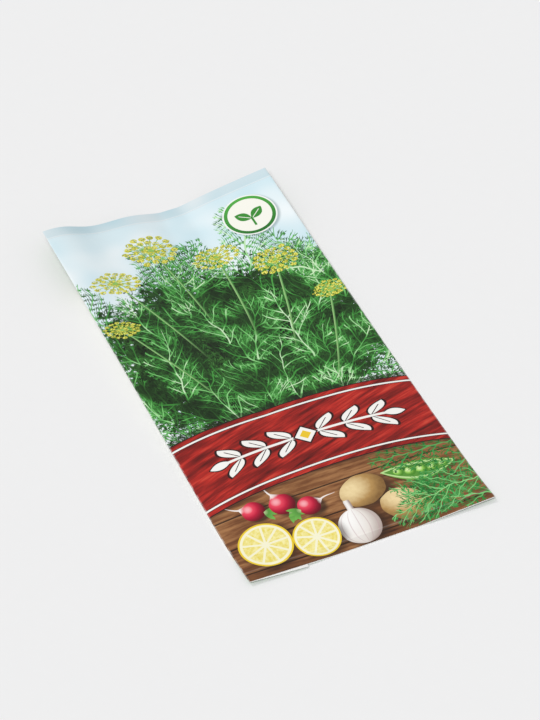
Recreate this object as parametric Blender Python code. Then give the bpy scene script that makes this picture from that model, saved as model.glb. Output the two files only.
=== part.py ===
"""A flat paper seed packet with loose dill seeds inside, lying on its back and slightly curled.

Metres, +Z up. The origin is on the surface that the packet lies on, under the middle of its outline.
+Y runs along the packet, towards the end whose corners curl up the most.
The shapes are worked out round the middle of the front panel, and moved by half the flap's skew at the end.
"""
import math
import random

import bmesh
import bpy
from mathutils import Euler, Matrix, Vector

MM = 0.001

# The packet, flat
WIDTH = 80 * MM
LENGTH = 160 * MM
PAPER = 0.12 * MM
SEAL_BAND = 4 * MM
FOLD_WALL = 0.3 * MM
HALF_WIDTH = WIDTH / 2
HALF_LENGTH = LENGTH / 2

# The back: a narrow flap from the left fold, lapped by a wide flap from the right fold
NARROW_FLAP = 18.5 * MM
LAP = 8 * MM
LAP_SLIT = 0.05 * MM
FLAP_SKEW = 0.9 * MM
NARROW_EDGE_X = NARROW_FLAP - HALF_WIDTH
WIDE_EDGE_X = NARROW_EDGE_X - LAP

# The curl: both sides rise from a flat strip along the packet
CURL_TOP_LEFT = 7.1 * MM
CURL_TOP_RIGHT = 5.7 * MM
CURL_BOTTOM_LEFT = 1.2 * MM
CURL_BOTTOM_RIGHT = 1.5 * MM
CURL_END = 20 * MM
LEFT_FALL_POWER = 1.6
RIGHT_FALL_POWER = 1.9
FLAT_LEFT_TOP = 2 * MM
FLAT_RIGHT_TOP = 8 * MM
FLAT_LEFT_BOTTOM = -11 * MM
FLAT_RIGHT_BOTTOM = 15 * MM
CURL_FOOT = 0.05
RIGHT_SWELL = 0.8

# A ripple in the left side of the top end, as a share of the side's lift, which dies away along the packet
RIPPLE = 0.11
RIPPLE_HALF_WAVES = 3
RIPPLE_STRETCH = 1.25
RIPPLE_LENGTH = 25 * MM

# The room for the seeds: how far the front panel stands above the back
FOLD_GAP = 0.1 * MM
FILL_RISE = 1.9 * MM
EMPTY_RISE = 0.5 * MM
FILL_REACH = 52 * MM
BULGE_ACROSS_POWER = 3
BULGE_ALONG_POWER = 10

# The mesh of the sheet, and its layers from the back to the front
LAYERS = 5
WIDE_LAYER, SLIT_LAYER, NARROW_LAYER, HOLLOW_LAYER, FRONT_LAYER = range(LAYERS)
COLUMN_STEP = 4 * MM
ROW_STEP = 8 * MM
PULL_STEPS = 24

# The seeds
SEED_COUNT = 200
SEED_LENGTH = 4.4 * MM
SEED_WIDTH = 2.3 * MM
SEED_THICKNESS = 0.9 * MM
SEED_RIM_POINTS = 8
SEED_SPACING = 1.28 * MM
SEED_PATCH_X = 1 * MM
SEED_PATCH_Y = -34 * MM
SEED_PATCH_STRETCH = 1.35
SEED_LIFT_SPREAD = 0.12 * MM
SEED_TILT = math.radians(5)
SEED_CLEARANCE = 0.32 * MM
SEED_RANDOM = 11
GOLDEN_ANGLE = math.pi * (3 - math.sqrt(5))


def clear_scene():
    for thing in list(bpy.data.objects):
        bpy.data.objects.remove(thing, do_unlink=True)


def material(name, colour, roughness):
    made = bpy.data.materials.new(name)
    made.use_nodes = True
    shader = made.node_tree.nodes["Principled BSDF"]
    shader.inputs["Base Color"].default_value = (*colour, 1)
    shader.inputs["Roughness"].default_value = roughness
    shader.inputs["Metallic"].default_value = 0
    return made


def ramp(distance):
    """A straight rise from 0 at 0 to 1 at 1, rounded over its foot."""
    return (math.hypot(distance, CURL_FOOT) - CURL_FOOT) / (math.hypot(1, CURL_FOOT) - CURL_FOOT)


def fallen(y):
    """How far down the long edges have come at y: 0 at the top corners, 1 where they meet the surface."""
    return min((HALF_LENGTH - y) / (LENGTH - CURL_END), 1.0)


def turned_up(y):
    """How far the bottom corners have turned up again at y, up to 1 at the bottom end."""
    return max((CURL_END - HALF_LENGTH - y) / CURL_END, 0.0) ** 2


def left_lift(y):
    """Height of the left long edge, which falls slowly at first."""
    return CURL_TOP_LEFT * (1 - fallen(y) ** LEFT_FALL_POWER) + CURL_BOTTOM_LEFT * turned_up(y)


def right_lift(y):
    """Height of the right long edge, which falls quickly at first."""
    return CURL_TOP_RIGHT * (1 - fallen(y)) ** RIGHT_FALL_POWER + CURL_BOTTOM_RIGHT * turned_up(y)


def curl(x, y):
    """Height of the underside of the packet's lowest layer."""
    along = (y + HALF_LENGTH) / LENGTH
    flat_left = FLAT_LEFT_BOTTOM + (FLAT_LEFT_TOP - FLAT_LEFT_BOTTOM) * along
    flat_right = FLAT_RIGHT_BOTTOM + (FLAT_RIGHT_TOP - FLAT_RIGHT_BOTTOM) * along
    if x < flat_left:
        outward = (flat_left - x) / (flat_left + HALF_WIDTH)
        wave = RIPPLE * math.sin(math.pi * RIPPLE_HALF_WAVES * min(outward, 1.0) ** RIPPLE_STRETCH)
        return left_lift(y) * (ramp(outward) + wave * math.exp((y - HALF_LENGTH) / RIPPLE_LENGTH))
    if x > flat_right:
        return right_lift(y) * ramp((x - flat_right) / (HALF_WIDTH - flat_right)) ** RIGHT_SWELL
    return 0.0


def bulge(x, y):
    """How far the front panel stands off the narrow flap's level: most over the seeds, least at the folds."""
    across = 1 - min(abs(x) / HALF_WIDTH, 1.0) ** BULGE_ACROSS_POWER
    along = 1 - min(abs(y) / (HALF_LENGTH - SEAL_BAND), 1.0) ** BULGE_ALONG_POWER
    fill = math.exp(-((y - SEED_PATCH_Y) / FILL_REACH) ** 4)
    rise = EMPTY_RISE + (FILL_RISE - EMPTY_RISE) * fill
    return FOLD_GAP + rise * across * along


def pulled_in(x, y):
    """Place across the packet of a point that is x from the middle when the packet is flat."""
    step = x / PULL_STEPS
    reach = 0.0
    for index in range(PULL_STEPS):
        rise = curl(step * (index + 1), y) - curl(step * index, y)
        reach += math.sqrt(step ** 2 - rise ** 2)
    return math.copysign(reach, x)


def layer_heights(x, y):
    """Heights at x, y of both faces of the wide flap, the narrow flap and the front panel, in that order."""
    base = curl(x, y)
    wide_top = base + PAPER
    narrow_under = wide_top + LAP_SLIT
    narrow_top = narrow_under + PAPER
    front_under = narrow_top + bulge(x, y)
    return [base, wide_top, narrow_under, narrow_top, front_under, front_under + PAPER]


def stations(breaks, step):
    """Even stations between the breaks, about a step apart."""
    places = [breaks[0]]
    for start, end in zip(breaks[:-1], breaks[1:]):
        count = max(1, round((end - start) / step))
        places += [start + (end - start) * (index + 1) / count for index in range(count)]
    return places


def is_paper(x, y, layer):
    """Whether the cell of a layer whose middle is at x, y is paper."""
    if x < WIDE_EDGE_X and layer in (WIDE_LAYER, SLIT_LAYER):
        return False
    sealed = abs(y) > HALF_LENGTH - SEAL_BAND or abs(x) > HALF_WIDTH - FOLD_WALL
    if sealed or layer in (WIDE_LAYER, FRONT_LAYER):
        return True
    return layer == NARROW_LAYER and x < NARROW_EDGE_X


def skew(x):
    """How far the narrow flap's bottom cut is shifted along the packet at x."""
    return -FLAP_SKEW * (x + HALF_WIDTH) / NARROW_FLAP


def make_sheet():
    """The folded sheet, as a lattice of paper cells whose free faces make one closed skin.

    The first row of cells holds only the strip of the narrow flap that sticks out past the bottom end.
    """
    columns = stations(
        [-HALF_WIDTH, FOLD_WALL - HALF_WIDTH, WIDE_EDGE_X, NARROW_EDGE_X, HALF_WIDTH - FOLD_WALL, HALF_WIDTH],
        COLUMN_STEP)
    rows = stations([-HALF_LENGTH, SEAL_BAND - HALF_LENGTH, HALF_LENGTH - SEAL_BAND, HALF_LENGTH], ROW_STEP)
    tab_rows = [rows[0]] + rows
    mesh = bmesh.new()
    corners = {}

    def corner(i, j, k):
        key = (i, j, k)
        if key not in corners:
            x = columns[i]
            y = tab_rows[j]
            shift = 0 if j else skew(x)
            corners[key] = mesh.verts.new((pulled_in(x, y), y + shift, layer_heights(x, y)[k]))
        return corners[key]

    def filled(i, j, k):
        if not (0 <= i < len(columns) - 1 and 0 <= j < len(tab_rows) - 1 and 0 <= k < LAYERS):
            return False
        x = (columns[i] + columns[i + 1]) / 2
        if j == 0:
            return k == NARROW_LAYER and x < NARROW_EDGE_X and i > 0
        return is_paper(x, (tab_rows[j] + tab_rows[j + 1]) / 2, k)

    def face(*keys):
        """A four-sided face as two triangles, always cut along the same diagonal."""
        a, b, c, d = [corner(*key) for key in keys]
        mesh.faces.new((a, b, c))
        mesh.faces.new((a, c, d))

    for i in range(len(columns) - 1):
        for j in range(len(tab_rows) - 1):
            for k in range(LAYERS):
                if not filled(i, j, k):
                    continue
                if not filled(i, j, k + 1):
                    face((i, j, k + 1), (i + 1, j, k + 1), (i + 1, j + 1, k + 1), (i, j + 1, k + 1))
                if not filled(i, j, k - 1):
                    face((i, j, k), (i, j + 1, k), (i + 1, j + 1, k), (i + 1, j, k))
                if not filled(i - 1, j, k):
                    face((i, j, k), (i, j, k + 1), (i, j + 1, k + 1), (i, j + 1, k))
                if not filled(i + 1, j, k):
                    face((i + 1, j, k), (i + 1, j + 1, k), (i + 1, j + 1, k + 1), (i + 1, j, k + 1))
                if not filled(i, j - 1, k):
                    face((i, j, k), (i + 1, j, k), (i + 1, j, k + 1), (i, j, k + 1))
                if not filled(i, j + 1, k):
                    face((i, j + 1, k), (i, j + 1, k + 1), (i + 1, j + 1, k + 1), (i + 1, j + 1, k))
    data = bpy.data.meshes.new("packet_sheet")
    mesh.to_mesh(data)
    mesh.free()
    sheet = bpy.data.objects.new("packet_sheet", data)
    bpy.context.collection.objects.link(sheet)
    data.materials.append(material("laminated_paper", (0.86, 0.87, 0.84), 0.35))
    data.shade_smooth()
    data.set_sharp_from_angle(angle=math.radians(35))
    return sheet


def seed_mesh():
    """One flat oval seed: a rim of points, with a short ridge above and below."""
    mesh = bmesh.new()
    rim = []
    for index in range(SEED_RIM_POINTS):
        angle = math.tau * index / SEED_RIM_POINTS
        rim.append(mesh.verts.new((math.cos(angle) * SEED_LENGTH / 2, math.sin(angle) * SEED_WIDTH / 2, 0)))
    ridge = SEED_LENGTH / 5
    for side in (1, -1):
        tops = [mesh.verts.new((end * ridge, 0, side * SEED_THICKNESS / 2)) for end in (1, -1)]
        for index in range(SEED_RIM_POINTS):
            a = rim[index]
            b = rim[(index + 1) % SEED_RIM_POINTS]
            middle_x = (a.co.x + b.co.x) / 2
            apex = tops[0] if middle_x > 0 else tops[1]
            mesh.faces.new((a, b, apex) if side > 0 else (b, a, apex))
        for index in (SEED_RIM_POINTS // 4, 3 * SEED_RIM_POINTS // 4):
            a = rim[index]
            pair = (a, tops[1], tops[0]) if index == SEED_RIM_POINTS // 4 else (a, tops[0], tops[1])
            mesh.faces.new(pair if side > 0 else tuple(reversed(pair)))
    bmesh.ops.recalc_face_normals(mesh, faces=mesh.faces)
    data = bpy.data.meshes.new("seed")
    mesh.to_mesh(data)
    mesh.free()
    return data


def seed_place(number, draw):
    """Where seed number lies: on a spiral that fills an oval patch evenly, following the curl below it."""
    reach = SEED_SPACING * math.sqrt(number + 0.5)
    angle = number * GOLDEN_ANGLE
    x = SEED_PATCH_X + reach * math.cos(angle)
    y = SEED_PATCH_Y + reach * math.sin(angle) * SEED_PATCH_STRETCH
    floor = layer_heights(x, y)[2]
    lift = floor + SEED_CLEARANCE + SEED_THICKNESS / 2 + draw.random() * SEED_LIFT_SPREAD
    slope = math.atan2(curl(x + MM, y) - curl(x - MM, y), 2 * MM)
    tilts = [draw.uniform(-SEED_TILT, SEED_TILT) for axis in "XY"]
    turn = Euler((*tilts, draw.uniform(0, math.tau))).to_matrix().to_4x4()
    return Matrix.Translation(Vector((x, y, lift))) @ Matrix.Rotation(-slope, 4, "Y") @ turn


def keep_largest(thing):
    """Drops every loose scrap but the largest joined body."""
    mesh = bmesh.new()
    mesh.from_mesh(thing.data)
    left = set(mesh.verts)
    islands = []
    while left:
        stack = [left.pop()]
        island = []
        while stack:
            vert = stack.pop()
            island.append(vert)
            for edge in vert.link_edges:
                other = edge.other_vert(vert)
                if other in left:
                    left.discard(other)
                    stack.append(other)
        islands.append(island)
    islands.sort(key=len)
    for island in islands[:-1]:
        bmesh.ops.delete(mesh, geom=island, context="VERTS")
    mesh.to_mesh(thing.data)
    mesh.free()


def make_seeds():
    """The loose patch of seeds, each touching its neighbours, fused into one body."""
    draw = random.Random(SEED_RANDOM)
    shape = seed_mesh()
    shape.materials.append(material("dill_seed", (0.33, 0.22, 0.12), 0.7))
    others = bpy.data.collections.new("other_seeds")
    bpy.context.scene.collection.children.link(others)
    first = None
    for number in range(SEED_COUNT):
        place = seed_place(number, draw)
        data = shape.copy()
        data.transform(place)
        seed = bpy.data.objects.new("seeds" if first is None else f"seed_{number}", data)
        (bpy.context.collection if first is None else others).objects.link(seed)
        first = first or seed
    union = first.modifiers.new("joined", "BOOLEAN")
    union.operation = "UNION"
    union.operand_type = "COLLECTION"
    union.collection = others
    bpy.context.view_layer.update()
    joined = bpy.data.meshes.new_from_object(first.evaluated_get(bpy.context.evaluated_depsgraph_get()))
    first.modifiers.clear()
    first.data = joined
    for seed in list(others.objects):
        bpy.data.objects.remove(seed, do_unlink=True)
    bpy.data.collections.remove(others)
    keep_largest(first)
    return first


clear_scene()
for piece in (make_sheet(), make_seeds()):
    piece.location.y = FLAP_SKEW / 2
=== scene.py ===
"""A printed seed packet lying on a pale surface: one folded sheet of laminated paper with dill seeds inside.

Lengths in the geometry are metres. Lengths in the print are millimetres, measured from the panel's middle.
The front's print is sky, feathery greens, a red banner and a kitchen table.
The back's print is a plain growing guide.
"""

import copy
import functools
import math
import random

import bpy
import numpy as np
from mathutils import Euler, Matrix, Vector


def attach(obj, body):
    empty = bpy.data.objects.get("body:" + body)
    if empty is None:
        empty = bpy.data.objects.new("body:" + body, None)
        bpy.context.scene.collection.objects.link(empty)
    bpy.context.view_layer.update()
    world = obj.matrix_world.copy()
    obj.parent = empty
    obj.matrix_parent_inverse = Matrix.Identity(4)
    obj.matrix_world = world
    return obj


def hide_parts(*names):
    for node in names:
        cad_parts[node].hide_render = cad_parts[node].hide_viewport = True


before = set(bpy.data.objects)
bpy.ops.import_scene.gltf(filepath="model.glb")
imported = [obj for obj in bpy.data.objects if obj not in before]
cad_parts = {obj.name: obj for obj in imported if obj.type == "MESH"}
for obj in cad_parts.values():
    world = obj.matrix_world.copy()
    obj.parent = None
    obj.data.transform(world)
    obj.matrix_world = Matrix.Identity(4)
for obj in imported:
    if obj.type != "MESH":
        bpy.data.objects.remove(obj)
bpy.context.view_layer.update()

MM = 0.001

# The packet, flat, as in the part
WIDTH = 80 * MM
LENGTH = 160 * MM
PAPER = 0.12 * MM
SEAL_BAND = 4 * MM
HALF_WIDTH = WIDTH / 2
HALF_LENGTH = LENGTH / 2

# The back: a narrow flap from the left fold, lapped by a wide flap from the right fold
NARROW_FLAP = 18.5 * MM
LAP = 8 * MM
LAP_SLIT = 0.05 * MM
FLAP_SKEW = 0.9 * MM
NARROW_EDGE_X = NARROW_FLAP - HALF_WIDTH
WIDE_EDGE_X = NARROW_EDGE_X - LAP

# The curl: both sides rise from a flat strip along the packet
CURL_TOP_LEFT = 7.1 * MM
CURL_TOP_RIGHT = 5.7 * MM
CURL_BOTTOM_LEFT = 1.2 * MM
CURL_BOTTOM_RIGHT = 1.5 * MM
CURL_END = 20 * MM
LEFT_FALL_POWER = 1.6
RIGHT_FALL_POWER = 1.9
FLAT_LEFT_TOP = 2 * MM
FLAT_RIGHT_TOP = 8 * MM
FLAT_LEFT_BOTTOM = -11 * MM
FLAT_RIGHT_BOTTOM = 15 * MM
CURL_FOOT = 0.05
RIGHT_SWELL = 0.8

# A ripple in the left side of the top end, as a share of the side's lift, which dies away along the packet
RIPPLE = 0.11
RIPPLE_HALF_WAVES = 3
RIPPLE_STRETCH = 1.25
RIPPLE_LENGTH = 25 * MM

# The room for the seeds: how far the front panel stands above the back
FOLD_GAP = 0.1 * MM
FILL_RISE = 1.9 * MM
EMPTY_RISE = 0.5 * MM
FILL_REACH = 52 * MM
BULGE_ACROSS_POWER = 3
BULGE_ALONG_POWER = 10
PULL_STEPS = 24

# The seeds, as in the part
SEED_COUNT = 200
SEED_LENGTH = 4.4 * MM
SEED_WIDTH = 2.3 * MM
SEED_THICKNESS = 0.9 * MM
SEED_SPACING = 1.28 * MM
SEED_PATCH_X = 1 * MM
SEED_PATCH_Y = -34 * MM
SEED_PATCH_STRETCH = 1.35
SEED_LIFT_SPREAD = 0.12 * MM
SEED_TILT = math.radians(5)
SEED_CLEARANCE = 0.32 * MM
SEED_RANDOM = 11
GOLDEN_ANGLE = math.pi * (3 - math.sqrt(5))

# The fine mesh of a seed: stations along and across it, and the furrows between its ribs.
# The furrows' depth is a share of the seed's thickness
SEED_ROWS = 7
SEED_COLUMNS = 9
FURROWS = 4
FURROW_DEPTH = 0.22

# The pressed seal at each end, the length over which the pressing sets in, and the crease there
SEAL_GAP = 0.01 * MM
SEAL_START = 0.2 * MM
CREASE_DEPTH = 0.07 * MM
CREASE_WIDTH = 0.28 * MM

# The fine mesh of the sheet
COLUMN_STEP = 1 * MM
ROW_STEP = 1 * MM
CREASE_STEP = 0.3 * MM
FOLD_SEGMENTS = 6
SHARP_EDGE = math.radians(50)


def bend_foot(distance):
    """A straight rise from 0 at 0 to 1 at 1, rounded over its foot."""
    return (np.hypot(distance, CURL_FOOT) - CURL_FOOT) / (math.hypot(1, CURL_FOOT) - CURL_FOOT)


def curl(x, y):
    """Height of the underside of the packet's lowest layer, as in the part."""
    fallen = np.minimum((HALF_LENGTH - y) / (LENGTH - CURL_END), 1.0)
    turned_up = np.maximum((CURL_END - HALF_LENGTH - y) / CURL_END, 0.0) ** 2
    left_lift = CURL_TOP_LEFT * (1 - np.maximum(fallen, 0) ** LEFT_FALL_POWER) + CURL_BOTTOM_LEFT * turned_up
    right_lift = CURL_TOP_RIGHT * (1 - fallen) ** RIGHT_FALL_POWER + CURL_BOTTOM_RIGHT * turned_up
    along = (y + HALF_LENGTH) / LENGTH
    flat_left = FLAT_LEFT_BOTTOM + (FLAT_LEFT_TOP - FLAT_LEFT_BOTTOM) * along
    flat_right = FLAT_RIGHT_BOTTOM + (FLAT_RIGHT_TOP - FLAT_RIGHT_BOTTOM) * along
    leftward = np.maximum((flat_left - x) / (flat_left + HALF_WIDTH), 0)
    rightward = np.maximum((x - flat_right) / (HALF_WIDTH - flat_right), 0)
    wave = RIPPLE * np.sin(math.pi * RIPPLE_HALF_WAVES * np.minimum(leftward, 1.0) ** RIPPLE_STRETCH)
    left_rise = left_lift * (bend_foot(leftward) + wave * np.exp((y - HALF_LENGTH) / RIPPLE_LENGTH))
    return left_rise + right_lift * bend_foot(rightward) ** RIGHT_SWELL


def pulled_in(x, y):
    """Place across the packet of a point that is x from the middle when the packet is flat."""
    step = x / PULL_STEPS
    reach = 0.0
    for index in range(PULL_STEPS):
        rise = curl(step * (index + 1), y) - curl(step * index, y)
        reach = reach + np.sqrt(step ** 2 - rise ** 2)
    return np.copysign(reach, x)


def past_seal_edge(y):
    """How far a place is past the inner edge of the nearer seal. It is negative between the seals."""
    return np.abs(y) - (HALF_LENGTH - SEAL_BAND)


def opening(x, y):
    """The gap between the narrow flap's level and the front panel: most over the seeds, none at the seals."""
    across = 1 - np.minimum(np.abs(x) / HALF_WIDTH, 1.0) ** BULGE_ACROSS_POWER
    along = 1 - np.minimum(np.abs(y) / (HALF_LENGTH - SEAL_BAND), 1.0) ** BULGE_ALONG_POWER
    fill = np.exp(-((y - SEED_PATCH_Y) / FILL_REACH) ** 4)
    rise = EMPTY_RISE + (FILL_RISE - EMPTY_RISE) * fill
    pressed = 0.5 + 0.5 * np.tanh(past_seal_edge(y) / SEAL_START)
    return FOLD_GAP + (SEAL_GAP - FOLD_GAP) * pressed + rise * across * along


def crease(y):
    """How far the front is pushed in along the edge of each seal."""
    return CREASE_DEPTH * np.exp(-(past_seal_edge(y) / CREASE_WIDTH) ** 2)


def stations(breaks, step):
    """Even stations between the breaks, about a step apart."""
    places = [breaks[0]]
    for start, end in zip(breaks, breaks[1:]):
        count = max(1, round((end - start) / step))
        places += [start + (end - start) * (index + 1) / count for index in range(count)]
    return places


def sheet_outline():
    """The sheet's path across the packet, from the narrow flap's cut edge to the wide flap's.

    Each point is (x, turn, layer). Turn is 0 at the back, 1 at the front and between them round a fold.
    """
    def flat(layer, turn, *breaks):
        return [(x, turn, layer) for x in stations(breaks, COLUMN_STEP)]

    turns = [index / FOLD_SEGMENTS for index in range(1, FOLD_SEGMENTS)]
    return (
        flat("narrow", 0.0, -HALF_WIDTH, WIDE_EDGE_X, NARROW_EDGE_X)[::-1]
        + [(-HALF_WIDTH, turn, "left_fold") for turn in turns]
        + flat("front", 1.0, -HALF_WIDTH, 0, HALF_WIDTH)
        + [(HALF_WIDTH, turn, "right_fold") for turn in reversed(turns)]
        + flat("wide", 0.0, WIDE_EDGE_X, NARROW_EDGE_X, HALF_WIDTH)[::-1])


def sheet_rows():
    """Stations along the packet, closer together round the crease at each seal."""
    seal_edge = HALF_LENGTH - SEAL_BAND
    near, far = seal_edge - 2 * CREASE_STEP, seal_edge + 2 * CREASE_STEP
    even = stations([-HALF_LENGTH, -far, -near, near, far, HALF_LENGTH], ROW_STEP)
    fine = [side * (seal_edge + index * CREASE_STEP / 2) for side in (-1, 1) for index in range(-3, 4)]
    return np.array(sorted(even + fine))


def sheet_points():
    """The sheet's outer and inner skin, each a grid: rows along the packet, columns along its path."""
    path = sheet_outline()
    rows = sheet_rows()
    y = rows[:, None]
    x, turn, layer = (np.array(values)[None, :] for values in zip(*path))
    base = curl(x, y)
    on_wide = (layer == "wide") | (layer == "right_fold") | ((layer == "front") & (x > 0))
    lowest = np.where(on_wide, base, base + PAPER + LAP_SLIT)
    front_top = base + 3 * PAPER + LAP_SLIT + opening(x, y) - crease(y)
    middle = (lowest + front_top) / 2
    radius = (front_top - lowest) / 2
    is_fold = (layer == "left_fold") | (layer == "right_fold")
    at_fold = is_fold | (np.abs(x) > HALF_WIDTH - 1e-9)
    across = pulled_in(x + 0 * y, y) - np.where(at_fold, np.sign(x) * radius, 0)
    skewed = np.where(layer == "narrow", -FLAP_SKEW * (x + HALF_WIDTH) / NARROW_FLAP, 0)
    near_end = np.clip(1 - (y + HALF_LENGTH) / SEAL_BAND, 0, 1)
    along = y + skewed * near_end + FLAP_SKEW / 2

    def skin(depth):
        """The grid at a depth under the sheet's outer face."""
        bend = radius - depth
        skin_x = across + np.where(is_fold, np.sign(x) * bend * np.sin(math.pi * turn), 0)
        flat_z = np.where(turn > 0.5, front_top - depth, lowest + depth)
        skin_z = np.where(is_fold, middle - bend * np.cos(math.pi * turn), flat_z)
        return np.stack([skin_x, along, skin_z], axis=-1)

    return path, rows, skin(0), skin(PAPER)


FRONT_SLOT, BACK_SLOT, INSIDE_SLOT = range(3)
PRINT_MAP = "print"
BAKE_MAP = "OFBake"
SEED_MAP = "seed_face"

# On the print's map, how far a fold reaches past the panel's edge
FOLD_PRINT_REACH = 0.1 * MM

# How the sheet's flat pieces share the map that a bake uses: the left and right of each.
# They all have the same bottom and top
FRONT_TILE = (0.004, 0.500)
BACK_TILE = (0.508, 0.950)
INSIDE_TILE = (0.958, 0.976)
EDGE_TILE = (0.984, 0.996)
TILE_BOTTOM, TILE_TOP = 0.004, 0.996


def print_place(path, rows):
    """Where each outer point lies on the flat panels: across, and along, both from the panel's middle."""
    sides = {"left_fold": -FOLD_PRINT_REACH, "right_fold": FOLD_PRINT_REACH}
    return np.meshgrid([x + sides.get(layer, 0) * turn for x, turn, layer in path], rows)


def in_scene(name, data):
    """A new object in the scene."""
    made = bpy.data.objects.new(name, data)
    bpy.context.scene.collection.objects.link(made)
    return made


def make_piece(name, points, faces, maps):
    """A smooth object from points and faces. Each map gives a place for every corner of every face."""
    mesh = bpy.data.meshes.new(name)
    mesh.from_pydata(points.tolist(), [], faces)
    for title, places in maps.items():
        layer = mesh.uv_layers.new(name=title)
        layer.uv.foreach_set("vector", np.array(places, np.float32).ravel())
    mesh.shade_smooth()
    return in_scene(name, mesh)


def make_sheet():
    """The folded sheet: an outer printed skin and an inner one, joined along the cut edges."""
    path, y, outer, inner = sheet_points()
    rows, columns = outer.shape[:2]
    grid_x, grid_y = print_place(path, y)
    front = [index for index, point in enumerate(path) if point[2] == "front"]
    low, high = front[0] - FOLD_SEGMENTS // 2, front[-1] + FOLD_SEGMENTS // 2
    faces, slots, prints, bakes = [], [], [], []

    def add(corners, slot, tile, first, last):
        """Adds a face. A corner is (row, column, skin). Skin is 0 for the outer one and 1 for the inner."""
        left, right = tile
        faces.append([(skin * rows + row) * columns + column for row, column, skin in corners])
        slots.append(slot)
        for row, column, _ in corners:
            prints.append((grid_x[row, column] / LENGTH + 0.5, grid_y[row, column] / LENGTH + 0.5))
            across = (column - first) / (last - first)
            along = row / (rows - 1)
            bakes.append((left + (right - left) * across, TILE_BOTTOM + (TILE_TOP - TILE_BOTTOM) * along))

    def add_edge(start, end):
        """Adds a face across the sheet's thickness."""
        corners = [(*start, 0), (*end, 0), (*end, 1), (*start, 1)]
        add(corners, INSIDE_SLOT, EDGE_TILE, 0, columns - 1)

    back_columns = low + columns - high
    for row in range(rows - 1):
        for column in range(columns - 1):
            keys = [(row, column), (row, column + 1), (row + 1, column + 1), (row + 1, column)]
            outside = [(*key, 0) for key in keys]
            if low <= column < high:
                add(outside, FRONT_SLOT, FRONT_TILE, low, high)
            else:
                first = 0 if column < low else high - low - 1
                add(outside, BACK_SLOT, BACK_TILE, first, first + back_columns)
            add([(*key, 1) for key in reversed(keys)], INSIDE_SLOT, INSIDE_TILE, 0, columns - 1)
    for column in range(columns - 1):
        add_edge((0, column + 1), (0, column))
        add_edge((rows - 1, column), (rows - 1, column + 1))
    for row in range(rows - 1):
        add_edge((row, 0), (row + 1, 0))
        add_edge((row + 1, columns - 1), (row, columns - 1))
    points = np.concatenate([outer.reshape(-1, 3), inner.reshape(-1, 3)])
    made = make_piece("folded_sheet", points, faces, {PRINT_MAP: prints, BAKE_MAP: bakes})
    made.data.polygons.foreach_set("material_index", slots)
    made.data.set_sharp_from_angle(angle=SHARP_EDGE)
    made.data.update()
    return made


def seed_shape():
    """A flat oval seed with ribs along both sides: its points, its faces, and each point's place on it."""
    along, across = np.meshgrid(
        np.linspace(-1, 1, SEED_ROWS), np.linspace(-1, 1, SEED_COLUMNS), indexing="ij")
    x = SEED_LENGTH / 2 * along * np.sqrt(1 - across ** 2 / 2)
    y = SEED_WIDTH / 2 * across * np.sqrt(1 - along ** 2 / 2)
    ribs = 1 - FURROW_DEPTH * (0.5 - 0.5 * np.cos(FURROWS * math.pi * across))
    z = SEED_THICKNESS / 2 * np.sqrt((1 - along ** 2) * (1 - across ** 2)) * ribs
    count = SEED_ROWS * SEED_COLUMNS
    top = np.arange(count).reshape(SEED_ROWS, SEED_COLUMNS)
    inside = (np.abs(along) < 1) & (np.abs(across) < 1)
    under = top.copy()
    under[inside] = count + np.arange(np.count_nonzero(inside))
    points = np.stack([x, y, z], axis=-1).reshape(-1, 3)
    points = np.concatenate([points, points[inside.ravel()] * (1, 1, -1)])
    places = np.stack([along, across], axis=-1).reshape(-1, 2) * 0.5 + 0.5
    places = np.concatenate([places, places[inside.ravel()]])
    faces = []
    for row in range(SEED_ROWS - 1):
        for column in range(SEED_COLUMNS - 1):
            keys = [(row, column), (row + 1, column), (row + 1, column + 1), (row, column + 1)]
            faces.append([int(top[key]) for key in keys])
            faces.append([int(under[key]) for key in reversed(keys)])
    return points, faces, places


def seed_place(number, draw):
    """Where a seed lies, as in the part: on a spiral that fills an oval patch and follows the curl."""
    reach = SEED_SPACING * math.sqrt(number + 0.5)
    angle = number * GOLDEN_ANGLE
    x = SEED_PATCH_X + reach * math.cos(angle)
    y = SEED_PATCH_Y + reach * math.sin(angle) * SEED_PATCH_STRETCH
    on_paper = curl(x, y) + PAPER + LAP_SLIT
    lift = on_paper + SEED_CLEARANCE + SEED_THICKNESS / 2 + draw.random() * SEED_LIFT_SPREAD
    slope = math.atan2(curl(x + MM, y) - curl(x - MM, y), 2 * MM)
    tilts = [draw.uniform(-SEED_TILT, SEED_TILT) for axis in "XY"]
    turn = Euler((*tilts, draw.uniform(0, math.tau))).to_matrix().to_4x4()
    place = Matrix.Translation(Vector((x, y + FLAP_SKEW / 2, lift)))
    return place @ Matrix.Rotation(-slope, 4, "Y") @ turn


def make_seeds():
    """The loose patch of seeds inside the packet."""
    draw = random.Random(SEED_RANDOM)
    shape, seed_faces, seed_places = seed_shape()
    points, faces = [], []
    for number in range(SEED_COUNT):
        place = np.array(seed_place(number, draw))
        faces += [[corner + number * len(shape) for corner in face] for face in seed_faces]
        points.append(shape @ place[:3, :3].T + place[:3, 3])
    corners = [seed_places[corner] for face in seed_faces for corner in face] * SEED_COUNT
    return make_piece("dill_seeds", np.concatenate(points), faces, {SEED_MAP: corners})


def operator(operation, swapped=False):
    """A method for Number that adds a Math node. A swapped one has the Number on the right."""
    if swapped:
        return lambda self, other: maths(operation, other, self)
    return lambda self, other: maths(operation, self, other)


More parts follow.
